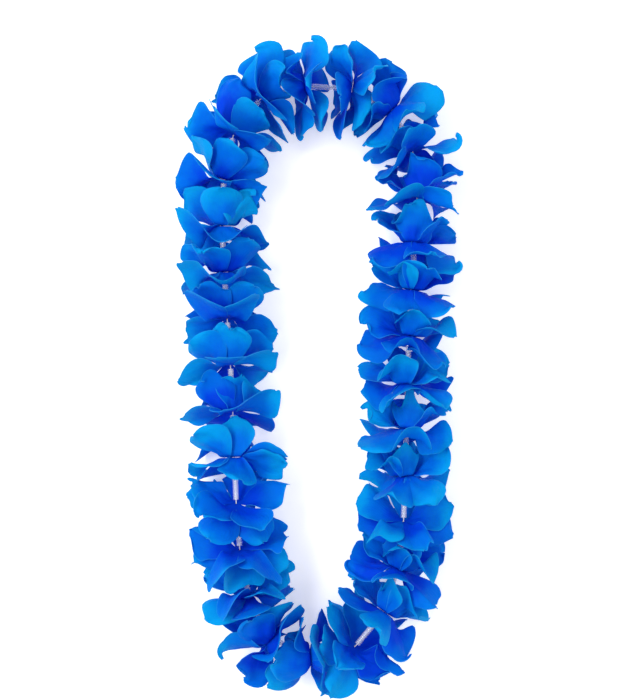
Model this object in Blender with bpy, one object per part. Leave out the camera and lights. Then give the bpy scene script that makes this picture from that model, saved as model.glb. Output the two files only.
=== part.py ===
"""Artificial flower lei: fabric flowers and clear spacer tubes threaded on one closed string.

Metres, +Z up. The lei lies on a surface at z = 0, its long loop running along Y, and the
origin is at the middle of the bottom of its bounding box.
"""

import math

import bmesh
import bpy
import numpy as np
from mathutils import Matrix, Vector

# Driving dimensions, in metres
FLOWER_COUNT = 29
STRING_HEIGHT = 0.033  # the string's middle above the surface, where the petals hold it
STRING_RADIUS = 0.0005
FIRST_FLOWER = 0.70  # place of flower_01 after the middle of the top, as a share of the pitch

HUB_SIDES = 10
HUB_RADIUS = 0.0032
HUB_BORE_RADIUS = 0.0012
HUB_HALF_LENGTH = 0.0014

TUBE_SIDES = 8
TUBE_LENGTH = 0.032
TUBE_RADIUS = 0.0024
TUBE_BORE_RADIUS = 0.0018

PETAL_LENGTH = 0.0365
PETAL_THICKNESS = 0.0008
CUP_LEAN = math.radians(46)  # from square to the string, of the layer on a flower's face
SKIRT_LEAN = math.radians(18)  # and of the layer on its back, which leans the other way
MEETING_LEAN = math.radians(24)  # of the two cups that face each other at the top
CUP_STATIONS = ((0.42, 0.018), (0.80, 0.022), (1.0, 0.009))  # share of length, width
SKIRT_STATIONS = ((0.42, 0.021), (0.80, 0.027), (1.0, 0.010))
FIRST_FORWARD = 15  # flowers from this one on face along the loop, the others against it
FLOWER_TURN = math.radians(137.5)  # each flower is turned this much past the last one

# Corners that the loop's smooth line is drawn from, clockwise from the middle of the top
LOOP_CORNERS = (
    (0.000, 0.2430),
    (0.058, 0.2350),
    (0.086, 0.1780),
    (0.0775, 0.0950),
    (0.0735, 0.0050),
    (0.0715, -0.0850),
    (0.0700, -0.1600),
    (0.0470, -0.2260),
    (0.000, -0.2450),
    (-0.049, -0.2290),
    (-0.069, -0.1600),
    (-0.0715, -0.0800),
    (-0.0745, 0.0050),
    (-0.0820, 0.0950),
    (-0.0835, 0.1780),
    (-0.059, 0.2350),
)
POINTS_PER_SPAN = 60
MERGE_DISTANCE = 0.000001
DIRECTION_STEP = 0.001  # how far apart two points are that give the loop's direction


def loop_line():
    """The loop's smooth closed line, as points of a cubic B-spline, with their distances."""
    corners = np.array(LOOP_CORNERS)
    t = np.linspace(0, 1, POINTS_PER_SPAN, endpoint=False)[:, None]
    spans = []
    for i in range(len(corners)):
        a, b, c, d = (corners[(i + k) % len(corners)] for k in (-1, 0, 1, 2))
        span = (1 - t) ** 3 * a + (3 * t**3 - 6 * t**2 + 4) * b
        span = span + (-3 * t**3 + 3 * t**2 + 3 * t + 1) * c + t**3 * d
        spans.append(span / 6)
    points = np.concatenate(spans)
    points = np.vstack([points, points[:1]])
    steps = np.linalg.norm(np.diff(points, axis=0), axis=1)
    return points, np.concatenate([[0], np.cumsum(steps)])


LINE, DISTANCES = loop_line()
LOOP_LENGTH = DISTANCES[-1]
PITCH = LOOP_LENGTH / FLOWER_COUNT


def on_loop(distance):
    """The point at this distance along the loop."""
    d = distance % LOOP_LENGTH
    x, y = (np.interp(d, DISTANCES, LINE[:, axis]) for axis in (0, 1))
    return Vector((x, y, STRING_HEIGHT))


def along_loop(distance):
    """The direction in which the loop runs there."""
    before, after = (on_loop(distance + step) for step in (-DIRECTION_STEP, DIRECTION_STEP))
    return (after - before).normalized()


def bent(distance, local):
    """Where a point of a flower goes: local is outwards, up and along the string."""
    there = distance + local.z
    outwards = along_loop(there).cross(Vector((0, 0, -1)))
    point = on_loop(there) + outwards * local.x
    point.z = max(0.0, STRING_HEIGHT + local.y)
    return point


def material(name, colour, roughness, alpha=1.0):
    made = bpy.data.materials.new(name)
    made.use_nodes = True
    shader = made.node_tree.nodes["Principled BSDF"]
    shader.inputs["Base Color"].default_value = (*colour, 1)
    shader.inputs["Roughness"].default_value = roughness
    shader.inputs["Alpha"].default_value = alpha
    return made


def add_object(name, data, look):
    obj = bpy.data.objects.new(name, data)
    data.materials.append(look)
    bpy.context.scene.collection.objects.link(obj)
    return obj


def turn_profile(bm, profile, sides):
    """A ring turned round the local Z axis from a closed profile of (radius, height) points."""
    verts = [bm.verts.new((radius, 0, height)) for radius, height in profile]
    edges = [bm.edges.new(pair) for pair in zip(verts, verts[1:] + verts[:1])]
    turned = {"axis": (0, 0, 1), "cent": (0, 0, 0), "steps": sides, "angle": 2 * math.pi}
    bmesh.ops.spin(bm, geom=verts + edges, **turned)
    bmesh.ops.remove_doubles(bm, verts=bm.verts, dist=MERGE_DISTANCE)


def grow_petal(bm, face, lean, stations):
    """A petal drawn out of a side face of the hub, station by station."""
    base = face.calc_center_median()
    outwards = Vector((base.x, base.y, 0)).normalized()
    sideways = Vector((-outwards.y, outwards.x, 0))
    along_petal = outwards * math.cos(lean) + Vector((0, 0, math.sin(lean)))
    across_cloth = outwards.cross(sideways) * math.cos(lean) - outwards * math.sin(lean)
    for share, width in stations:
        centre = face.calc_center_median()
        offsets = [vert.co - centre for vert in face.verts]
        face = bmesh.ops.extrude_discrete_faces(bm, faces=[face])["faces"][0]
        for vert, offset in zip(face.verts, offsets):
            side = math.copysign(width / 2, offset.dot(sideways))
            level = math.copysign(PETAL_THICKNESS / 2, offset.dot(across_cloth))
            vert.co = base + along_petal * share * PETAL_LENGTH
            vert.co += sideways * side + across_cloth * level


def finished_mesh(bm, name):
    """The mesh with all its faces pointing outwards."""
    bmesh.ops.recalc_face_normals(bm, faces=bm.faces)
    if bm.calc_volume(signed=True) < 0:
        bmesh.ops.reverse_faces(bm, faces=bm.faces)
    mesh = bpy.data.meshes.new(name)
    bm.to_mesh(mesh)
    bm.free()
    return mesh


def flower_mesh(name, number, distance):
    """Two layers of five petals on one bored hub, bent along the loop, about the hub's middle."""
    faces_along = number >= FIRST_FORWARD
    cup_lean = MEETING_LEAN if number in (1, FLOWER_COUNT) else CUP_LEAN
    bm = bmesh.new()
    half = HUB_HALF_LENGTH
    outside = [(HUB_RADIUS, -half), (HUB_RADIUS, 0), (HUB_RADIUS, half)]
    bore = [(HUB_BORE_RADIUS, half), (HUB_BORE_RADIUS, -half)]
    turn_profile(bm, outside + bore, HUB_SIDES)
    sector = 2 * math.pi / HUB_SIDES
    for face in list(bm.faces):
        centre = face.calc_center_median()
        is_end = math.isclose(abs(centre.z), half, rel_tol=0.01)
        if is_end or centre.xy.length < (HUB_RADIUS + HUB_BORE_RADIUS) / 2:
            continue  # an end of the hub, or the wall of its bore
        is_ahead = centre.z > 0
        place = math.floor(math.atan2(centre.y, centre.x) / sector)
        if (place % 2 == 0) != is_ahead:
            continue  # this sector's petal belongs to the other layer
        is_cup = is_ahead == faces_along
        lean = cup_lean if is_cup else SKIRT_LEAN
        stations = CUP_STATIONS if is_cup else SKIRT_STATIONS
        grow_petal(bm, face, lean if is_ahead else -lean, stations)
    turned = Matrix.Rotation(number * FLOWER_TURN, 3, "Z")
    bmesh.ops.rotate(bm, verts=bm.verts, matrix=turned)
    hub = on_loop(distance)
    for vert in bm.verts:
        vert.co = bent(distance, vert.co) - hub
    return finished_mesh(bm, name)


def tube_mesh():
    """A short bored tube along its local Z axis, about its middle."""
    bm = bmesh.new()
    half = TUBE_LENGTH / 2
    outside = [(TUBE_RADIUS, -half), (TUBE_RADIUS, half)]
    bore = [(TUBE_BORE_RADIUS, half), (TUBE_BORE_RADIUS, -half)]
    turn_profile(bm, outside + bore, TUBE_SIDES)
    return finished_mesh(bm, "spacer_tube")


def hub_ends(distance):
    """Where the string enters a hub and where it leaves it."""
    middle = on_loop(distance)
    reach = along_loop(distance) * HUB_HALF_LENGTH
    return middle - reach, middle + reach


def string_curve(distances):
    """The string: straight through each hub, and straight through the tube to the next hub."""
    curve = bpy.data.curves.new("string_loop", "CURVE")
    curve.dimensions = "3D"
    curve.bevel_depth = STRING_RADIUS
    curve.bevel_resolution = 1
    points = [end for distance in distances for end in hub_ends(distance)]
    spline = curve.splines.new("POLY")
    spline.points.add(len(points) - 1)
    for place, point in zip(spline.points, points):
        place.co = (*point, 1)
    spline.use_cyclic_u = True
    return curve


def centre_on_origin(objects):
    """Moves everything so that the middle of the bottom of the whole box is at the origin."""
    bpy.context.view_layer.update()
    graph = bpy.context.evaluated_depsgraph_get()
    corners = []
    for obj in objects:
        shown = obj.evaluated_get(graph)
        corners += [shown.matrix_world @ vert.co for vert in shown.to_mesh().vertices]
        shown.to_mesh_clear()
    low, high = np.min(corners, axis=0), np.max(corners, axis=0)
    shift = Vector(((low[0] + high[0]) / 2, (low[1] + high[1]) / 2, low[2]))
    for obj in objects:
        obj.location -= shift


def build():
    for obj in list(bpy.data.objects):
        bpy.data.objects.remove(obj)
    petal_cloth = material("petal_cloth", (0.003, 0.12, 0.62), 0.7)
    clear_plastic = material("clear_plastic", (0.92, 0.94, 0.96), 0.12, alpha=0.35)
    string_cord = material("string_cord", (0.88, 0.88, 0.86), 0.8)

    distances = [(i + FIRST_FLOWER) * PITCH for i in range(FLOWER_COUNT)]
    made = [add_object("string_loop", string_curve(distances), string_cord)]
    for number, distance in enumerate(distances, 1):
        name = f"flower_{number:02d}"
        obj = add_object(name, flower_mesh(name, number, distance), petal_cloth)
        obj.location = on_loop(distance)
        made.append(obj)

    tube = tube_mesh()
    tube.materials.append(clear_plastic)
    for number, distance in enumerate(distances, 1):
        start = hub_ends(distance)[1]
        end = hub_ends(distance + PITCH)[0]
        obj = bpy.data.objects.new(f"spacer_tube_{number:02d}", tube)
        bpy.context.scene.collection.objects.link(obj)
        obj.location = (start + end) / 2
        obj.rotation_euler = (end - start).to_track_quat("Z", "Y").to_euler()
        made.append(obj)
    centre_on_origin(made)


build()
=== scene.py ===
import math

import bmesh
import bpy
import numpy as np
from mathutils import Matrix, Vector


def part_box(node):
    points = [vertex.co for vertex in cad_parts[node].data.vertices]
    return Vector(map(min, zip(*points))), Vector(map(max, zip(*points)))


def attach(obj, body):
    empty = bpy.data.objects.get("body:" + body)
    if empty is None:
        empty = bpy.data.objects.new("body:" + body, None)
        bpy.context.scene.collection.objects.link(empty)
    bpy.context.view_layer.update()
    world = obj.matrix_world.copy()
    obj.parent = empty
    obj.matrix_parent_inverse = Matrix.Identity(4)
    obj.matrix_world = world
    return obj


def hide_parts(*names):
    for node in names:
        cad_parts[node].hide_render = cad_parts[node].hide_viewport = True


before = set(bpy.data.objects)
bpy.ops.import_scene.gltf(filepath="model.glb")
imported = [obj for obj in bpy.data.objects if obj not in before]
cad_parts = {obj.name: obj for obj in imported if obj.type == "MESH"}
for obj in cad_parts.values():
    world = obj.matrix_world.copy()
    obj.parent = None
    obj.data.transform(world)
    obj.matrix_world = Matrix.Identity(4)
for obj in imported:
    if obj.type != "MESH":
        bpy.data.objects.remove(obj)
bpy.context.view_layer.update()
mm = 0.001
body = "root"

# the strand: one closed string, the same route as the CAD, clockwise from the middle of the top
strand = {
    "flowers": 29,
    "firstFlower": 0.70,  # share of the pitch after the middle of the top
    "height": 33 * mm,
    "hubHalf": 1.4 * mm,
    "pointsPerSpan": 60,
    "corners": [
        (0.000, 0.2430), (0.058, 0.2350), (0.086, 0.1780), (0.0775, 0.0950),
        (0.0735, 0.0050), (0.0715, -0.0850), (0.0700, -0.1600), (0.0470, -0.2260),
        (0.000, -0.2450), (-0.049, -0.2290), (-0.069, -0.1600), (-0.0715, -0.0800),
        (-0.0745, 0.0050), (-0.0820, 0.0950), (-0.0835, 0.1780), (-0.059, 0.2350),
    ],
}


def strandLine():
    corners = np.array(strand["corners"])
    t = np.linspace(0, 1, strand["pointsPerSpan"], endpoint=False)[:, None]
    spans = []
    for i in range(len(corners)):
        a, b, c, d = (corners[(i + k) % len(corners)] for k in (-1, 0, 1, 2))
        span = (1 - t) ** 3 * a + (3 * t**3 - 6 * t**2 + 4) * b
        span = span + (-3 * t**3 + 3 * t**2 + 3 * t + 1) * c + t**3 * d
        spans.append(span / 6)
    points = np.concatenate(spans)
    points = np.vstack([points, points[:1]])
    steps = np.linalg.norm(np.diff(points, axis=0), axis=1)
    return points, np.concatenate([[0], np.cumsum(steps)])


linePoints, lineDistances = strandLine()
loopLength = lineDistances[-1]
pitch = loopLength / strand["flowers"]
hubDistances = [(i + strand["firstFlower"]) * pitch for i in range(strand["flowers"])]


def onStrand(distance):
    d = np.mod(distance, loopLength)
    return np.stack([np.interp(d, lineDistances, linePoints[:, axis]) for axis in (0, 1)], axis=-1)


def alongStrand(distance):
    run = onStrand(distance + 1 * mm) - onStrand(distance - 1 * mm)
    return run / np.linalg.norm(run, axis=-1, keepdims=True)


def hubEnds(distance):
    middle = np.append(onStrand(distance), strand["height"])
    reach = np.append(alongStrand(distance), 0) * strand["hubHalf"]
    return middle - reach, middle + reach


def tubeEnds(i):
    return hubEnds(hubDistances[i])[1], hubEnds(hubDistances[(i + 1) % strand["flowers"]])[0]


def cadOffset():
    # the CAD moved its strand to stand on the origin: each tube tells by how much
    gaps = []
    for i in range(strand["flowers"]):
        low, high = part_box(f"spacer_tube_{i + 1:02d}")
        start, end = tubeEnds(i)
        gaps.append(np.array((low + high) / 2) - (start + end) / 2)
    return np.mean(gaps, axis=0)


offset = cadOffset()
print("strand of", round(loopLength, 3), "m, offset", offset)


def inFrame(distance, outwards, up, along):
    # bends a flower's points along the strand, in the CAD's frame
    there = distance + along
    run = alongStrand(there)
    side = np.stack([-run[:, 1], run[:, 0]], axis=1)  # left of the run, which is outwards
    flat = onStrand(there) + side * outwards[:, None]
    return np.column_stack([flat, strand["height"] + up]) + offset


def linear(hexColour):
    channels = [int(hexColour[i : i + 2], 16) / 255 for i in (1, 3, 5)]
    return tuple(c / 12.92 if c <= 0.04045 else ((c + 0.055) / 1.055) ** 2.4 for c in channels) + (1,)


def addNode(material, kind, settings=None, links=None):
    # settings are the node's properties and sockets, links are socket: (node, output)
    tree = material.node_tree
    node = tree.nodes.new(kind)
    for name, value in (settings or {}).items():
        if isinstance(name, str) and hasattr(node, name) and name not in node.inputs:
            setattr(node, name, value)
        else:
            node.inputs[name].default_value = value
    for socket, (source, output) in (links or {}).items():
        tree.links.new(source.outputs[output], node.inputs[socket])
    return node


def newMaterial(name):
    material = bpy.data.materials.new(name)
    material.use_nodes = True
    material.node_tree.nodes.clear()
    return material


# the petals are thin dyed polyester, plain-woven and heat-formed, so they are low in gloss and let
# light through
petalLook = {
    # heart to tip: partly dye, partly painted shade deep in the heart and painted light on the tips
    "heart": "#004ee8",
    "middle": "#007cea",
    "tip": "#04aef0",
    "edge": "#32aaf0",
    "threadMm": 0.55,  # real threads are about 0.2 mm apart, drawn coarser to show
    "oneBand": 0.314,  # a wave texture repeats once for each unit at this scale
    "creases": (380, 45, 1),  # for each metre across a petal and along it
    "throughShare": 0.34,  # of the light that falls on the cloth
}


def petalCloth():
    material = newMaterial("heatFormedPolyesterCloth")
    out = addNode(material, "ShaderNodeOutputMaterial")
    flatCut = addNode(material, "ShaderNodeUVMap", {"uv_map": "flatCut"})
    along = addNode(material, "ShaderNodeAttribute", {"attribute_name": "petalAlong"})
    rim = addNode(material, "ShaderNodeAttribute", {"attribute_name": "petalRim"})
    dye = addNode(material, "ShaderNodeAttribute", {"attribute_name": "petalDye"})
    coords = addNode(material, "ShaderNodeTexCoord")

    # the colour goes from deep in the heart to light at the tip, in soft uneven patches: partly the cloth's
    # dye, partly painted shade in the heart where the petals close round the string and painted light on the
    # tips
    patches = addNode(material, "ShaderNodeTexNoise", {"Scale": 55.0, "Detail": 3.0, "Roughness": 0.55},
                      {"Vector": (coords, "Object")})
    uneven = addNode(material, "ShaderNodeMath", {"operation": "MULTIPLY_ADD", 1: 0.55, 2: -0.275},
                     {0: (patches, "Fac")})
    lifted = addNode(material, "ShaderNodeMath", {"operation": "ADD"}, {0: (along, "Fac"), 1: (uneven, 0)})
    shade = addNode(material, "ShaderNodeMath", {"operation": "ADD", "use_clamp": True},
                    {0: (lifted, 0), 1: (dye, "Fac")})
    ramp = addNode(material, "ShaderNodeValToRGB", None, {"Fac": (shade, 0)})
    ramp.color_ramp.interpolation = "EASE"
    ramp.color_ramp.elements[0].color = linear(petalLook["heart"])
    ramp.color_ramp.elements[0].position = 0.12
    ramp.color_ramp.elements[1].color = linear(petalLook["tip"])
    ramp.color_ramp.elements[1].position = 0.95
    middle = ramp.color_ramp.elements.new(0.5)
    middle.color = linear(petalLook["middle"])

    # the cut edge is a thin pale line of frayed, melted thread
    colour = addNode(material, "ShaderNodeMix", {"data_type": "RGBA", "blend_type": "MIX"},
                     {0: (rim, "Fac"), 6: (ramp, "Color")})
    colour.inputs[7].default_value = linear(petalLook["edge"])

    # plain weave from two crossed waves on the flat cut, with the cloth's own slub
    turns = 1000 / petalLook["threadMm"]
    scaled = addNode(material, "ShaderNodeMapping", {"Scale": (turns, turns, 1)}, {"Vector": (flatCut, "UV")})
    warp, weft = (
        addNode(material, "ShaderNodeTexWave",
                {"bands_direction": direction, "Scale": petalLook["oneBand"], "Distortion": 0.6,
                 "Detail": 1.0},
                {"Vector": (scaled, "Vector")})
        for direction in "XY"
    )
    weave = addNode(material, "ShaderNodeMath", {"operation": "MULTIPLY"},
                    {0: (warp, "Fac"), 1: (weft, "Fac")})
    slub = addNode(material, "ShaderNodeTexNoise", {"Scale": 900.0, "Detail": 2.0},
                   {"Vector": (flatCut, "UV")})
    threads = addNode(material, "ShaderNodeMath", {"operation": "MULTIPLY_ADD", 1: 0.6},
                      {0: (slub, "Fac"), 2: (weave, 0)})
    # fine creases pressed in by the mould, fanning out from the heart
    span = addNode(material, "ShaderNodeUVMap", {"uv_map": "petalSpan"})
    stretched = addNode(material, "ShaderNodeMapping", {"Scale": petalLook["creases"]},
                        {"Vector": (span, "UV")})
    creases = addNode(material, "ShaderNodeTexNoise", {"Scale": 1.0, "Detail": 4.0, "Roughness": 0.6},
                      {"Vector": (stretched, "Vector")})
    threadBump = addNode(material, "ShaderNodeBump", {"Strength": 0.3, "Distance": 0.0004},
                         {"Height": (threads, 0)})
    bump = addNode(material, "ShaderNodeBump", {"Strength": 0.5, "Distance": 0.0012},
                   {"Height": (creases, "Fac"), "Normal": (threadBump, "Normal")})
    gloss = addNode(material, "ShaderNodeMapRange", {"To Min": 0.42, "To Max": 0.62},
                    {"Value": (creases, "Fac")})

    cloth = addNode(material, "ShaderNodeBsdfPrincipled",
                    {"Specular IOR Level": 0.04},
                    {"Base Color": (colour, 2), "Roughness": (gloss, "Result"), "Normal": (bump, "Normal")})
    through = addNode(material, "ShaderNodeBsdfTranslucent", None,
                      {"Color": (colour, 2), "Normal": (bump, "Normal")})
    both = addNode(material, "ShaderNodeMixShader", {0: petalLook["throughShare"]},
                   {1: (cloth, "BSDF"), 2: (through, "BSDF")})
    material.node_tree.links.new(both.outputs[0], out.inputs["Surface"])
    return material


clothMaterial = petalCloth()
print("petal cloth mixed")

# a rosette: five petals cut from one sheet, 88 mm across, with a small hole for the string
rosette = {
    "petals": 5,
    "length": 44 * mm,  # from the hole's middle to the end of a petal
    "hole": 1.0 * mm,
    "neck": 4.5 * mm,  # the petals part here
    "thickness": 0.32 * mm,
    "weld": 0.01 * mm,  # petals share their edges inside the neck
    "ringRows": 3,
    "bodyRows": 22,
    "tipRows": 13,
    "tipFrom": 0.82,  # share of a petal where its rows come closer together
    "rounding": 7,  # how far the cut's corners are smoothed, in steps of its fine outline
    # places across a petal, closer together at the cut edge
    "across": [-1, -0.972, -0.91, -0.82, -0.7, -0.56, -0.42, -0.28, -0.14, 0,
               0.14, 0.28, 0.42, 0.56, 0.7, 0.82, 0.91, 0.972, 1],
    # half width of a petal's cut in mm, at shares of its length
    "cut": [(0.108, 2.9), (0.17, 4.5), (0.27, 7.3), (0.39, 10.8), (0.52, 14.6), (0.63, 17.6), (0.73, 19.6),
            (0.80, 19.3), (0.86, 16.8), (0.90, 13.2), (0.93, 9.0), (0.955, 5.6), (0.98, 3.6), (1.0, 2.8)],
}


def smoothStep(x):
    x = np.clip(x, 0, 1)
    return x * x * (3 - 2 * x)


def halfWidth(t):
    shares, widths = np.array(rosette["cut"]).T
    fine = np.linspace(shares[0], 1, 400)
    rough = np.interp(fine, shares, widths)
    spread = rosette["rounding"]
    kernel = np.hanning(2 * spread + 1)
    padded = np.concatenate([np.full(spread, rough[0]), rough, np.full(spread, rough[-1])])
    smooth = np.convolve(padded, kernel / kernel.sum(), mode="valid")
    return np.interp(t / rosette["length"], fine, smooth) * mm


def ripple(u, v, seed):
    # smooth random field, about -1 to 1
    waves = 5
    draw = np.random.default_rng(7000 + seed)
    total = np.zeros_like(u)
    for _ in range(waves):
        fu, fv = draw.uniform(0.4, 1.9), draw.uniform(0.3, 1.4)
        total += np.sin(2 * math.pi * (fu * u + fv * v * draw.choice([-1, 1]) + draw.random()))
    return total / waves**0.5 / 1.2


def leanAt(layer, azimuth):
    # petals on top flop one way, those at the sides spread and those below lie under the flower
    up = np.cos(azimuth)
    lean = layer["sides"] + (layer["front"] - layer["sides"]) * np.maximum(0, up) ** 1.5
    return lean + (layer["rear"] - layer["sides"]) * np.maximum(0, -up) ** 1.5


def petalForm(draw, layer, azimuth):
    # how one petal was pressed and has been bent since: angles in degrees, lengths in mm
    return {
        "lean": leanAt(layer, azimuth) + draw.normal(0, 8),
        "fall": -layer["fall"] * math.sin(azimuth) * draw.uniform(0.55, 1.35),  # a side petal falls flat
        "droop": 5 * math.sin(azimuth) ** 2 * draw.uniform(0.4, 1.3),
        "sway": draw.normal(0, 2.0) + 14 * math.sin(azimuth) * max(0, math.cos(azimuth)),
        "turn": draw.normal(0, 3.5),
        "twist": layer["twist"] + draw.normal(0, 3.5),
        "twistOn": draw.normal(0, 8),  # more twist towards the tip
        "dish": draw.uniform(22, 42),  # radius across the middle
        "recurve": layer["recurve"] + draw.normal(0, 12),
        "curl": draw.choice([draw.uniform(5, 40), draw.uniform(70, 150), draw.uniform(-60, -10)],
                            p=[0.4, 0.45, 0.15]),
        "pinch": draw.uniform(0.4, 1.25),  # how far the nib is rolled, in radians at its edge
        "pleat": layer.get("pleat", 0.2),
        "ruffle": draw.uniform(0.2, 0.9),
        "waves": draw.uniform(0.8, 1.8),
        "rollLeft": draw.choice([0.0, draw.uniform(0.5, 2.2), draw.uniform(-1.2, 0)]),
        "rollRight": draw.choice([0.0, draw.uniform(0.5, 2.2), draw.uniform(-1.2, 0)]),
        "buckle": draw.uniform(0.4, 1.2),
        "size": draw.normal(1.0, 0.02),
        "dye": draw.normal(0, 0.15),
    }


# where each bend of a petal starts or is full, in shares of its length past the neck; a roll starts at
# a share of its half width
bends = {
    "dishedBy": 0.28,
    "leanBy": 0.24,
    "recurveFrom": 0.45,
    "curlFrom": 0.86,
    "nibFrom": 0.84,
    "nibSpan": 0.13,
    "rollFrom": 0.62,
    "pleatSpan": 0.28,
    "buckledBy": 0.35,
    "fallenBy": 0.7,
}


def petalSurface(form, t, v, seed):
    # positions over a petal in its own frame: x across, y out from the string, z towards the lean
    length, neck = rosette["length"], rosette["neck"]
    grow = np.clip((t - neck) / (length - neck), 0, 1)
    rise = smoothStep(grow / bends["dishedBy"])
    fine = np.linspace(0, 1, 240)
    # the lean is a little more than stated near the heart and less near the tip
    bend = math.radians(form["lean"]) * smoothStep(fine / bends["leanBy"]) * (1.22 - 0.4 * fine)
    for name in ("recurve", "curl"):
        start = bends[name + "From"]
        bend = bend - math.radians(form[name]) * smoothStep((fine - start) / (1 - start))
    step = (length - neck) / (len(fine) - 1)
    outLine = neck + np.concatenate([[0], np.cumsum(np.cos((bend[1:] + bend[:-1]) / 2))]) * step
    upLine = np.concatenate([[0], np.cumsum(np.sin((bend[1:] + bend[:-1]) / 2))]) * step
    out = np.interp(grow, fine, outLine) + np.minimum(t - neck, 0)
    up = np.interp(grow, fine, upLine)
    angle = np.interp(grow, fine, bend)

    width = np.where(t > neck, halfWidth(t), t * math.pi / rosette["petals"])
    fan = v * width / np.maximum(t, 1e-6)
    side = t * np.sin(fan)
    back = t * (1 - np.cos(fan))

    # dished across the middle, rolled into a nib at the end
    nib = smoothStep((grow - bends["nibFrom"]) / bends["nibSpan"])
    dish = rise / (form["dish"] * mm) * (1 - nib) + nib * form["pinch"] / width
    bowed = dish > 1
    lateral = np.where(bowed, np.sin(dish * side) / np.maximum(dish, 1), side)
    depth = np.where(bowed, (1 - np.cos(dish * side)) / np.maximum(dish, 1), 0)

    # ruffled and rolled edges, pressed creases, soft buckles
    rim = np.abs(v) ** 3
    wave = np.sin(2 * math.pi * form["waves"] * grow + np.where(v > 0, 1.3, 4.1) + seed)
    depth = depth + form["ruffle"] * mm * rim * wave * rise * (1 - 0.7 * nib)
    rolled = np.clip((np.abs(v) - bends["rollFrom"]) / (1 - bends["rollFrom"]), 0, 1) ** 2
    amount = np.where(v > 0, form["rollRight"], form["rollLeft"])
    depth = depth - amount * mm * rolled * rise * (1 - nib)
    pleats = np.sin(v * 14 + seed) * 0.5 + np.sin(v * 23 + 2 * seed) * 0.35
    pleats = pleats * np.exp(-grow / (bends["pleatSpan"] + form["pleat"])) * smoothStep(grow / 0.06)
    depth = depth + form["pleat"] * mm * pleats
    depth = depth + form["buckle"] * mm * ripple(grow, v, seed) * smoothStep(grow / bends["buckledBy"])

    twist = form["twist"] * rise + form["twistOn"] * grow**2
    twist = np.radians(twist + form["fall"] * smoothStep(grow / bends["fallenBy"]))
    across = lateral * np.cos(twist) - depth * np.sin(twist)
    inwards = lateral * np.sin(twist) + depth * np.cos(twist)
    across = across + form["sway"] * mm * grow**2

    y = out - back * np.cos(angle) - inwards * np.sin(angle)
    z = up - back * np.sin(angle) + inwards * np.cos(angle)
    return across, y, z


def softCeiling(value, limit, softness):
    return limit - softness * np.logaddexp(0, (limit - value) / softness)


def softFloor(value, limit, softness):
    return limit + softness * np.logaddexp(0, (value - limit) / softness)


def rosettePoints(layer, number):
    # all the points of a rosette in its flower's frame, with its faces, flat cut and attributes
    draw = np.random.default_rng(1000 + number)
    length, neck, split = rosette["length"], rosette["neck"], rosette["tipFrom"]
    v = np.array(rosette["across"])
    grow = np.concatenate([np.linspace(0, split, rosette["bodyRows"] + 1)[:-1],
                           np.linspace(split, 1, rosette["tipRows"] + 1)])
    rings = np.linspace(rosette["hole"], neck, rosette["ringRows"] + 1)[:-1]
    t = np.concatenate([rings, neck + (length - neck) * grow])
    tt, vv = np.meshgrid(t, v, indexing="ij")
    points, faces, flat, spans, alongs, rims, dyes = [], [], [], [], [], [], []
    index = np.arange(tt.size).reshape(tt.shape)
    quads = np.stack([index[:-1, :-1], index[:-1, 1:], index[1:, 1:], index[1:, :-1]], axis=-1).reshape(-1, 4)
    for k in range(rosette["petals"]):
        straight = math.radians(layer["turn"] + 72 * k)
        straight = straight - 0.2 * max(0, math.cos(straight)) * math.sin(2 * straight)  # faces the sky more
        form = petalForm(draw, layer, straight)
        form.update(layer.get("petals", {}).get(k, {}))
        x, y, z = petalSurface(form, tt, vv, number * 5 + k)
        size = 1 + (form["size"] - 1) * smoothStep((tt - neck) / (10 * mm))
        azimuth = straight + math.radians(form["turn"]) * smoothStep((tt - neck) / (8 * mm))
        right = x * size * np.cos(azimuth) + y * size * np.sin(azimuth)
        top = -x * size * np.sin(azimuth) + y * size * np.cos(azimuth)
        top = top - form["droop"] * mm * smoothStep((tt - neck) / (length - neck)) ** 1.5
        points.append(np.stack([right, top, z * size], axis=-1).reshape(-1, 3))
        faces.append(quads + k * tt.size)
        width = np.where(tt > neck, halfWidth(tt), tt * math.pi / rosette["petals"])
        fan = vv * width / tt
        flat.append(np.stack([tt * np.sin(fan) + 0.1 * k, tt * np.cos(fan)], axis=-1).reshape(-1, 2))
        spans.append(np.stack([vv * 18 * mm + 0.1 * k, tt], axis=-1).reshape(-1, 2))
        share = np.clip((tt - neck) / (length - neck), 0, 1)
        # place on the colour ramp: low in the heart, high at the tip, a little higher at the sides; the
        # darker heart is partly painted shade and the lighter tip partly painted light
        alongs.append((0.08 + 0.8 * share**1.2 + 0.1 * np.abs(vv) ** 3).ravel())
        edge = np.where(tt > 9 * mm, np.clip((np.abs(vv) - 0.97) / 0.03, 0, 1), 0)
        edge = np.maximum(edge, np.clip((share - 0.985) / 0.015, 0, 1))
        rims.append(edge.ravel())
        dyes.append(np.full(tt.size, form["dye"] + layer.get("dye", 0)))
    return [np.concatenate(rows) for rows in (points, faces, flat, spans, alongs, rims, dyes)]


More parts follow.
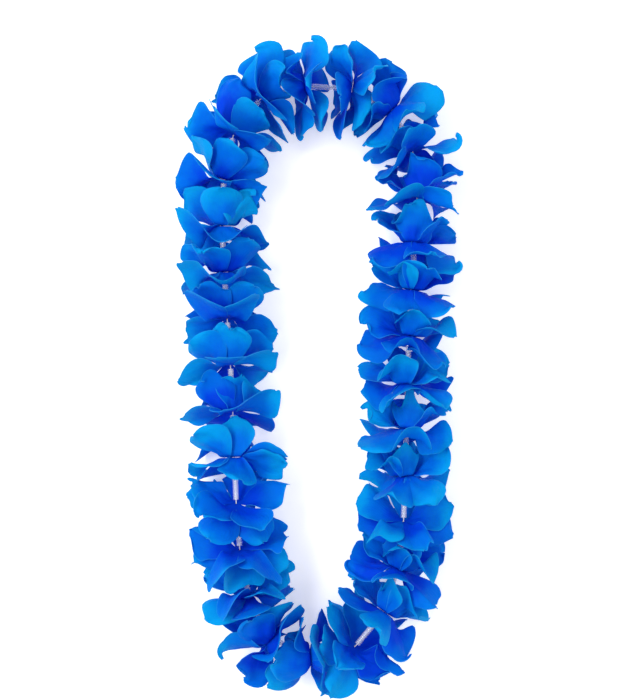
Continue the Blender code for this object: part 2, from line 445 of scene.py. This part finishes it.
# how the flowers sit: tip is towards the sky, side is to the right of its face, both in degrees.
# a rosette's turn is its first petal's place, from straight up towards the right of its face,
# and its front, sides and rear are how far petals lean on top, at the sides and below.
# over says how the cup lies to the next flower's skirt: 1 is over it, -1 under it,
# and brush is the way its side petals fall, 1 with its face's lower side first
forward = 15  # flowers from this one on face along the strand, the others against it
poses = {
    6: {"over": -1, "skirt": {"front": 40, "turn": -20}},
    7: {"over": -1, "tip": -4, "side": 6,
        "cup": {"turn": 60, "front": 40, "petals": {0: {"lean": 30, "dye": 0.2}}},
        "skirt": {"turn": -18, "front": 44, "petals": {0: {"dye": -0.25}, 1: {"lean": 50, "dye": -0.15}}}},
    8: {"over": -1, "tip": 8, "side": -6,
        "cup": {"turn": -32, "front": 66,
                "petals": {0: {"lean": 62, "dye": 0.2}, 1: {"turn": 24, "lean": 34, "dye": 0.25}}},
        "skirt": {"turn": -30, "front": 30, "sides": 30, "petals": {0: {"dye": 0.1}}}},
    9: {"over": 1, "tip": -6, "side": 4,
        "cup": {"turn": -4, "front": 82, "recurve": 2, "petals": {0: {"dye": 0.15}}},
        "skirt": {"turn": 12, "front": 44, "petals": {0: {"dye": 0.0, "sway": 3}}}},
    10: {"over": -1, "tip": 4, "side": -6,
         "cup": {"turn": 14, "front": 68, "sides": 42, "petals": {0: {"dye": 0.2}, 1: {"dye": 0.15}}},
         "skirt": {"turn": 40, "front": 20, "sides": 30, "petals": {3: {"dye": 0.2}}}},
    11: {"over": -1, "tip": 34, "side": 0,
         "cup": {"turn": 30, "front": 8, "sides": 16, "rear": 34},
         "skirt": {"turn": 4, "front": 24, "sides": 18, "petals": {0: {"dye": 0.0}}}},
    12: {"over": -1, "tip": 4, "side": 10,
         "cup": {"turn": 44, "front": 60, "petals": {0: {"dye": 0.1}}},
         "skirt": {"turn": 60, "front": 20}},
    13: {"over": 1, "tip": -8, "side": 10,
         "cup": {"turn": -30, "front": 72, "recurve": 8, "petals": {0: {"dye": 0.15}, 1: {"dye": 0.05}}},
         "skirt": {"turn": 0, "front": 30}},
    14: {"over": 1, "tip": 30, "side": 0, "touch": (0.04, 1, 0.04, 2),
         "cup": {"turn": 10, "front": 14, "sides": 18, "rear": 30},
         "skirt": {"turn": 46, "front": 20, "sides": 20, "petals": {0: {"dye": 0.2}}}},
    15: {"over": -1, "tip": 10,
         "cup": {"turn": 60, "sides": 50, "front": 64, "petals": {0: {"dye": -0.1}}},
         "skirt": {"turn": 24, "front": 40, "sides": 34, "petals": {0: {"dye": 0.2}}}},
    16: {"over": 1, "tip": 20, "side": -8,
         "cup": {"turn": -6, "front": 66, "pleat": 0.5},
         "skirt": {"turn": 60, "front": 20, "pleat": 0.3}},
    17: {"over": -1, "brush": -1, "tip": 10,
         "cup": {"turn": -40, "front": 44, "rear": 40},
         "skirt": {"turn": -60, "front": 10, "petals": {0: {"dye": 0.2}}}},
    18: {"over": -1, "brush": -1, "tip": 26, "side": 0,
         "cup": {"turn": 36, "front": 18, "sides": 22, "rear": 42, "dye": -0.1},
         "skirt": {"turn": -8, "front": 30, "petals": {0: {"dye": 0.25}}}},
    19: {"over": -1, "brush": -1, "tip": 30, "side": 4,
         "cup": {"turn": 34, "front": 4, "sides": 14, "rear": 36, "dye": -0.1},
         "skirt": {"turn": -28, "front": 28, "petals": {0: {"dye": -0.1}, 1: {"dye": -0.15}}}},
    20: {"over": 1, "tip": -4, "side": 0,
         "cup": {"turn": 14, "front": 78, "sides": 18, "petals": {0: {"dye": 0.2}, 4: {"dye": 0.3}}},
         "skirt": {"turn": 12, "front": 34, "sides": 28, "dye": -0.12,
                   "petals": {4: {"lean": 14, "curl": 20}}}},
    21: {"over": 1, "tip": -4, "side": 0,
         "cup": {"turn": 24, "front": 80, "sides": 36,
                 "petals": {0: {"dye": 0.0}, 1: {"lean": 50, "dye": 0.2}}},
         "skirt": {"turn": -84, "front": 0, "sides": 2, "petals": {0: {"dye": 0.1}}}},
    22: {"over": 1, "tip": -2, "side": 0,
         "cup": {"turn": 12, "front": 74, "sides": 38, "petals": {0: {"dye": 0.15}, 4: {"dye": 0.1}}},
         "skirt": {"turn": -86, "front": 2, "sides": 8, "petals": {0: {"dye": 0.25}}}},
    23: {"over": -1, "side": 0,
         "cup": {"turn": -30, "front": 50},
         "skirt": {"turn": 36, "front": 18}},
}


def flowerForm(number):
    draw = np.random.default_rng(500 + number)
    facing = 1 if number >= forward else -1
    form = {
        "facing": facing,
        "brush": facing,
        "over": draw.choice([-1, 1]),
        "tip": draw.normal(0, 7),
        "side": draw.normal(0, 6),
        # tilt and fold of the surface where its rosettes touch, each with its direction in radians
        "touch": (draw.uniform(0.05, 0.3), draw.uniform(0, 6.3),
                  draw.uniform(0.05, 0.22), draw.uniform(0, 6.3)),
        "cup": {"sides": draw.uniform(30, 40), "rear": draw.uniform(46, 58), "turn": draw.uniform(0, 72),
                "twist": draw.choice([-12, 12]), "recurve": 16, "flop": draw.uniform(-5, 5)},
        "skirt": {"sides": draw.uniform(20, 28), "rear": draw.uniform(28, 40), "turn": draw.uniform(0, 72),
                  "twist": draw.choice([-7, 7]), "recurve": 8, "flop": draw.uniform(-5, 5)},
    }
    for key, value in poses.get(number, {}).items():
        if isinstance(value, dict):
            form[key].update(value)
        else:
            form[key] = value
    return form


flowerForms = [flowerForm(i + 1) for i in range(strand["flowers"])]


def settleFlowers():
    # petals on top lie over or under the next flower's, and side petals fall the way they were brushed
    for i, form in enumerate(flowerForms):
        ahead = flowerForms[(i + form["facing"]) % strand["flowers"]]
        form["cup"].setdefault("front", (72 if form["over"] > 0 else 48) + form["cup"]["flop"])
        form["cup"]["fall"] = 42 * form["brush"]
        form["skirt"]["fall"] = -42 * form["brush"]
        if ahead["facing"] == form["facing"]:
            ahead["skirt"].setdefault("front", (4 if form["over"] > 0 else 38) + ahead["skirt"]["flop"])
    for form in flowerForms:
        form["skirt"].setdefault("front", 26)
    for i in (0, strand["flowers"] - 1):
        flowerForms[i]["cup"].update(front=24, sides=22, rear=24)


settleFlowers()


# how the petals press together: between a flower's own rosettes, and between neighbouring flowers
press = {
    "flatTo": 6 * mm,  # a flower's rosettes lie flat together this far out
    "ownSlant": 35,  # degrees, of its side petals
    "ownSlantBy": 10 * mm,
    "coverFrom": 4 * mm,  # the same, between neighbouring flowers
    "coverShare": 0.9,  # of the lean that petals keep where the next flower covers them
    "coverSlant": 38,  # degrees
    "coverWave": 0.09,  # of the reach, in three waves round the flower
    "skirtShare": 0.7,  # how much of a shared slant is the skirt's, the rest is the cup's
    "clear": 1.4 * mm,  # from a neighbouring flower's petals to where its own rosettes touch
    "clearSoftness": 0.8 * mm,
    "apart": 0.27 * mm,  # half the space between a flower's rosettes
    "apartGrowth": 0.006,  # more further out, where a bend closes the petals up
    "apartSoftness": 0.15 * mm,
    "floor": 0.5 * mm,  # cloth stays this far above the surface
    "floorSoftness": 1.2 * mm,
    "room": 0.4 * mm,  # half the space between neighbouring flowers
    "roomSoftness": 1.5 * mm,
}


def touchSurface(form, right, top):
    # where a flower's two rosettes touch: flat at the string, tilted and waved further out
    reach = np.maximum(0, np.hypot(right, top) - press["flatTo"])
    azimuth = np.arctan2(right, top)
    tilt, tiltAt, fold, foldAt = form["touch"]
    surface = reach * (tilt * np.sin(azimuth - tiltAt) + fold * np.sin(2 * azimuth - foldAt))
    # at the sides it slants the way that both rosettes' petals fall, like a shingle
    slant = math.tan(math.radians(press["ownSlant"])) * form["brush"]
    return surface + slant * top * np.sin(azimuth) ** 2 * smoothStep(reach / press["ownSlantBy"])


def seatedSurface(form, outwards, top):
    # the same surface once the flower has tipped, as a distance past its hub the way it faces
    right = -outwards * form["facing"]
    tipped = math.tan(math.radians(form["tip"])) * top + math.tan(math.radians(form["side"])) * right
    return touchSurface(form, right, top) - tipped


def coverLimit(cupFlower, skirtFlower, outwards, top):
    # the surface between a cup and the next flower's skirt, as a distance past the cup's hub
    reach = np.maximum(0, np.hypot(outwards, top) - press["coverFrom"])
    azimuth = np.arctan2(-outwards * cupFlower["facing"], top)
    low = seatedSurface(cupFlower, outwards, top)
    high = pitch + seatedSurface(skirtFlower, outwards, top)
    keep, clear, softness = press["coverShare"], press["clear"], press["clearSoftness"]
    cupHeight = low + keep * reach * np.tan(np.radians(leanAt(cupFlower["cup"], azimuth)))
    skirtHeight = high - keep * reach * np.tan(np.radians(leanAt(skirtFlower["skirt"], azimuth)))
    limit = (cupHeight + skirtHeight) / 2
    share = press["skirtShare"]
    brush = (1 - share) * cupFlower["brush"] + share * skirtFlower["brush"]
    limit = limit + math.tan(math.radians(press["coverSlant"])) * brush * top * np.sin(azimuth) ** 2
    limit = limit + press["coverWave"] * reach * np.sin(3 * azimuth + cupFlower["touch"][1])
    limit = softCeiling(limit, high - clear, softness)
    return softFloor(limit, low + clear, softness)


def gapLimit(before, after, outwards, top):
    # the surface between two neighbouring flowers, as a distance along the strand past the first hub
    a, b = flowerForms[before], flowerForms[after]
    if a["facing"] != b["facing"]:  # back to back or face to face
        behind = a["facing"] * seatedSurface(a, outwards, top)
        ahead = b["facing"] * seatedSurface(b, outwards, top)
        return (pitch + behind + ahead) / 2
    if a["facing"] > 0:
        return coverLimit(a, b, outwards, top)
    return pitch - coverLimit(b, a, outwards, top)


def placeLayer(number, layerName):
    # a rosette's points in the CAD's frame
    i = number - 1
    form = flowerForms[i]
    layer = form[layerName]
    seed = number * 2 + (layerName == "skirt")
    points, faces, *rest = rosettePoints(layer, seed)
    right, top, along = points.T
    touch = touchSurface(form, right, top)
    apart = press["apart"] + press["apartGrowth"] * np.hypot(right, top)
    if layerName == "cup":
        along = softFloor(along, touch, press["apartSoftness"]) + apart
    else:
        along = softCeiling(-along, touch, press["apartSoftness"]) - apart
        faces = faces[:, ::-1]
    tip, side = math.radians(form["tip"]), math.radians(form["side"])
    top, along = top * math.cos(tip) + along * math.sin(tip), along * math.cos(tip) - top * math.sin(tip)
    right, along = (right * math.cos(side) + along * math.sin(side),
                    along * math.cos(side) - right * math.sin(side))
    past = along * form["facing"]
    outwards = -right * form["facing"]
    top = softFloor(top, -strand["height"] + press["floor"], press["floorSoftness"])
    before, after = (i - 1) % strand["flowers"], (i + 1) % strand["flowers"]
    ahead = gapLimit(i, after, outwards, top)
    behind = gapLimit(before, i, outwards, top) - pitch
    room, softness = press["room"], press["roomSoftness"]
    past = softCeiling(past, ahead - room, softness)
    past = softFloor(past, behind + room, softness)
    return inFrame(hubDistances[i], outwards, top, past), faces, *rest


def makeRosette(number, layerName):
    points, faces, flat, spans, alongs, rims, dyes = placeLayer(number, layerName)
    name = f"{layerName}_rosette_{number:02d}"
    mesh = bpy.data.meshes.new(name)
    mesh.from_pydata(points.tolist(), [], faces.tolist())
    for attribute, values in (("petalAlong", alongs), ("petalRim", rims), ("petalDye", dyes)):
        mesh.attributes.new(attribute, "FLOAT", "POINT").data.foreach_set("value", values.astype(np.float32))
    corners = np.empty(len(mesh.loops), np.int32)
    mesh.loops.foreach_get("vertex_index", corners)
    for layer, places in (("flatCut", flat), ("petalSpan", spans)):
        mesh.uv_layers.new(name=layer).data.foreach_set("uv", places[corners].astype(np.float32).ravel())
    piece = bpy.data.objects.new(name, mesh)
    bpy.context.scene.collection.objects.link(piece)
    bm = bmesh.new()
    bm.from_mesh(mesh)
    bmesh.ops.remove_doubles(bm, verts=bm.verts, dist=rosette["weld"])
    bm.to_mesh(mesh)
    bm.free()
    mesh.shade_smooth()
    wall = piece.modifiers.new("thickness", "SOLIDIFY")
    wall.thickness = rosette["thickness"]
    wall.offset = 0
    mesh.materials.append(clothMaterial)
    bpy.context.view_layer.objects.active = piece
    with bpy.context.temp_override(object=piece, active_object=piece, selected_objects=[piece]):
        bpy.ops.object.modifier_apply(modifier=wall.name)
    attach(piece, body)
    return piece


for number in range(1, strand["flowers"] + 1):
    cup = makeRosette(number, "cup")
    makeRosette(number, "skirt")
    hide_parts(f"flower_{number:02d}")
print("rosettes made")

# clear tubes: soft PVC, cut square, so it has bright lines along it and the string shows through
tube = {
    "radius": 2.4 * mm,
    "bore": 1.8 * mm,  # radius inside
    "length": 32 * mm,
    "sides": 24,
    "rim": 0.12 * mm,  # rounding of the cut ends
    "endBand": 0.1 * mm,  # an edge this near an end belongs to it
    "sharpFrom": 50,  # degrees between two faces, past which their edge is shaded sharp
}


def clearTubeMaterial():
    material = newMaterial("extrudedClearPvc")
    out = addNode(material, "ShaderNodeOutputMaterial")
    coords = addNode(material, "ShaderNodeTexCoord")
    # faint draw lines and dents from being cut and bent
    dents = addNode(material, "ShaderNodeTexNoise", {"Scale": 160.0, "Detail": 2.0},
                    {"Vector": (coords, "Object")})
    bump = addNode(material, "ShaderNodeBump", {"Strength": 0.1, "Distance": 0.0006},
                   {"Height": (dents, "Fac")})
    haze = addNode(material, "ShaderNodeMapRange", {"To Min": 0.04, "To Max": 0.12},
                   {"Value": (dents, "Fac")})
    plastic = addNode(material, "ShaderNodeBsdfPrincipled",
                      {"IOR": 1.45, "Alpha": 0.25, "Specular IOR Level": 1.0},
                      {"Roughness": (haze, "Result"), "Normal": (bump, "Normal")})
    plastic.inputs["Base Color"].default_value = linear("#ffffff")
    material.node_tree.links.new(plastic.outputs[0], out.inputs["Surface"])
    return material


tubeMaterial = clearTubeMaterial()


def makeTubes():
    bpy.ops.object.select_all(action="DESELECT")
    bpy.ops.mesh.primitive_cylinder_add(vertices=tube["sides"], radius=tube["radius"], depth=tube["length"],
                                        end_fill_type="NGON")
    master = bpy.context.object
    bpy.ops.object.mode_set(mode="EDIT")
    bpy.ops.mesh.select_all(action="DESELECT")
    bm = bmesh.from_edit_mesh(master.data)
    for face in bm.faces:
        face.select_set(abs(face.normal.z) > 0.9)
    bmesh.update_edit_mesh(master.data)
    bpy.ops.mesh.inset(thickness=tube["radius"] - tube["bore"])
    bpy.ops.mesh.bridge_edge_loops()
    bpy.ops.mesh.select_all(action="DESELECT")
    bm = bmesh.from_edit_mesh(master.data)
    for edge in bm.edges:
        low, high = (abs(vert.co.z) for vert in edge.verts)
        isAtEnd = min(low, high) > tube["length"] / 2 - tube["endBand"]
        isCorner = len(edge.link_faces) == 2 and abs(edge.calc_face_angle(0)) > 1
        edge.select_set(isAtEnd and isCorner)
    bmesh.update_edit_mesh(master.data)
    bpy.ops.mesh.bevel(offset=tube["rim"], segments=2)
    bpy.ops.mesh.select_all(action="SELECT")
    bpy.ops.mesh.normals_make_consistent(inside=False)
    bpy.ops.object.mode_set(mode="OBJECT")
    master.data.shade_smooth()
    master.data.set_sharp_from_angle(angle=math.radians(tube["sharpFrom"]))
    for i in range(strand["flowers"]):
        start, end = tubeEnds(i)
        run = Vector(end - start)
        piece = bpy.data.objects.new(f"clear_tube_{i + 1:02d}", master.data.copy())
        bpy.context.scene.collection.objects.link(piece)
        aimed = run.to_track_quat("Z", "Y").to_matrix().to_4x4()
        piece.data.transform(Matrix.Translation(Vector((start + end) / 2 + offset)) @ aimed)
        piece.data.materials.append(tubeMaterial)
        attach(piece, body)
        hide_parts(f"spacer_tube_{i + 1:02d}")
    bpy.data.objects.remove(master)


makeTubes()
print("tubes cut")

# the string: two plies of white polyester thread twisted together
string = {
    "ply": 0.30 * mm,  # radius of one ply
    "lay": 0.24 * mm,  # how far a ply lies from the middle
    "twist": 2.6 * mm,  # length of one turn
    "step": 0.65 * mm,  # between points
}


def stringMaterial():
    material = newMaterial("twistedPolyesterThread")
    out = addNode(material, "ShaderNodeOutputMaterial")
    coords = addNode(material, "ShaderNodeTexCoord")
    fibres = addNode(material, "ShaderNodeTexNoise", {"Scale": 2500.0, "Detail": 2.0},
                     {"Vector": (coords, "Object")})
    ramp = addNode(material, "ShaderNodeValToRGB", None, {"Fac": (fibres, "Fac")})
    ramp.color_ramp.elements[0].color = linear("#d9d9d6")
    ramp.color_ramp.elements[1].color = linear("#fbfbf9")
    bump = addNode(material, "ShaderNodeBump", {"Strength": 0.5, "Distance": 0.0001},
                   {"Height": (fibres, "Fac")})
    thread = addNode(material, "ShaderNodeBsdfPrincipled", {"Roughness": 0.7, "Sheen Weight": 0.2},
                     {"Base Color": (ramp, "Color"), "Normal": (bump, "Normal")})
    material.node_tree.links.new(thread.outputs[0], out.inputs["Surface"])
    return material


def makeString():
    corners = np.array([end for d in hubDistances for end in hubEnds(d)]) + offset
    corners = np.vstack([corners, corners[:1]])
    lengths = np.concatenate([[0], np.cumsum(np.linalg.norm(np.diff(corners, axis=0), axis=1))])
    total = lengths[-1]
    turns = round(total / string["twist"])
    count = int(total / string["step"])
    distance = np.arange(count) / count * total
    middle = np.stack([np.interp(distance, lengths, corners[:, a]) for a in range(3)], axis=1)
    run = np.roll(middle, -1, axis=0) - np.roll(middle, 1, axis=0)
    run /= np.linalg.norm(run, axis=1, keepdims=True)
    side = np.stack([-run[:, 1], run[:, 0], np.zeros(count)], axis=1)
    up = np.array([0, 0, 1.0])
    curve = bpy.data.curves.new("string_plies", "CURVE")
    curve.dimensions = "3D"
    curve.bevel_depth = string["ply"]
    curve.bevel_resolution = 1
    for ply in range(2):
        phase = 2 * math.pi * turns * np.arange(count) / count + math.pi * ply
        path = middle + string["lay"] * (np.cos(phase)[:, None] * side + np.sin(phase)[:, None] * up)
        spline = curve.splines.new("POLY")
        spline.points.add(count - 1)
        spline.points.foreach_set("co", np.column_stack([path, np.ones(count)]).astype(np.float32).ravel())
        spline.use_cyclic_u = True
        spline.use_smooth = True
    curve.materials.append(stringMaterial())
    piece = bpy.data.objects.new("string_plies", curve)
    bpy.context.scene.collection.objects.link(piece)
    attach(piece, body)
    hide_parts("string_loop")


makeString()
print("string twisted")

# floor, light and camera
studio = {
    "floor": 12.0,  # metres from its middle to its edge
    "floorGlow": 0.4,
    "sky": 0.78,
    # two long softboxes beside the strand draw a bright line along each tube: place, width, watts
    "softboxLength": 1.8,
    "softboxes": {"key": ((-1.1, 0.35, 1.5), 0.5, 24), "fill": ((1.2, 0.0, 1.2), 0.2, 6)},
    "lens": 90.0,
    "sensor": 36.0,
    "viewHeight": 0.588,  # metres seen along the longer side of the view, at the strand
    "aimY": 0.0185,
}


def makeStudio():
    bpy.ops.mesh.primitive_plane_add(size=studio["floor"] * 2, location=(0, 0, 0))
    floor = bpy.context.object
    floor.name = "studio_floor"
    material = newMaterial("backlitOpalAcrylic")
    out = addNode(material, "ShaderNodeOutputMaterial")
    coords = addNode(material, "ShaderNodeTexCoord")
    grain = addNode(material, "ShaderNodeTexNoise", {"Scale": 40.0, "Detail": 2.0},
                    {"Vector": (coords, "Object")})
    tone = addNode(material, "ShaderNodeValToRGB", None, {"Fac": (grain, "Fac")})
    tone.color_ramp.elements[0].color = linear("#f0f0f0")
    tone.color_ramp.elements[1].color = linear("#f4f4f4")
    acrylic = addNode(material, "ShaderNodeBsdfPrincipled",
                      {"Roughness": 0.9, "Specular IOR Level": 0.1, "Emission Strength": studio["floorGlow"]},
                      {"Base Color": (tone, "Color")})
    acrylic.inputs["Emission Color"].default_value = linear("#ffffff")
    material.node_tree.links.new(acrylic.outputs[0], out.inputs["Surface"])
    floor.data.materials.append(material)

    world = bpy.data.worlds.new("studio")
    world.use_nodes = True
    sky = world.node_tree.nodes["Background"]
    sky.inputs["Color"].default_value = (1, 1, 1, 1)
    sky.inputs["Strength"].default_value = studio["sky"]
    bpy.context.scene.world = world

    middle = Vector(offset) + Vector((0, 0, strand["height"]))
    for name, (place, width, power) in studio["softboxes"].items():
        light = bpy.data.lights.new(name, "AREA")
        light.shape = "RECTANGLE"
        light.size = studio["softboxLength"]
        light.size_y = width
        light.energy = power
        lamp = bpy.data.objects.new(name, light)
        lamp.location = place
        lamp.rotation_euler = (middle - Vector(place)).to_track_quat("-Z", "Y").to_euler()
        bpy.context.scene.collection.objects.link(lamp)

    camera = bpy.data.cameras.new("camera")
    camera.sensor_width = studio["sensor"]
    camera.lens = studio["lens"]
    camera.clip_end = 100
    eye = bpy.data.objects.new("camera", camera)
    away = studio["viewHeight"] * studio["lens"] / studio["sensor"]
    eye.location = (offset[0], offset[1] + studio["aimY"], strand["height"] + offset[2] + away)
    bpy.context.scene.collection.objects.link(eye)
    bpy.context.scene.camera = eye
    bpy.context.scene.view_settings.view_transform = "Standard"


makeStudio()
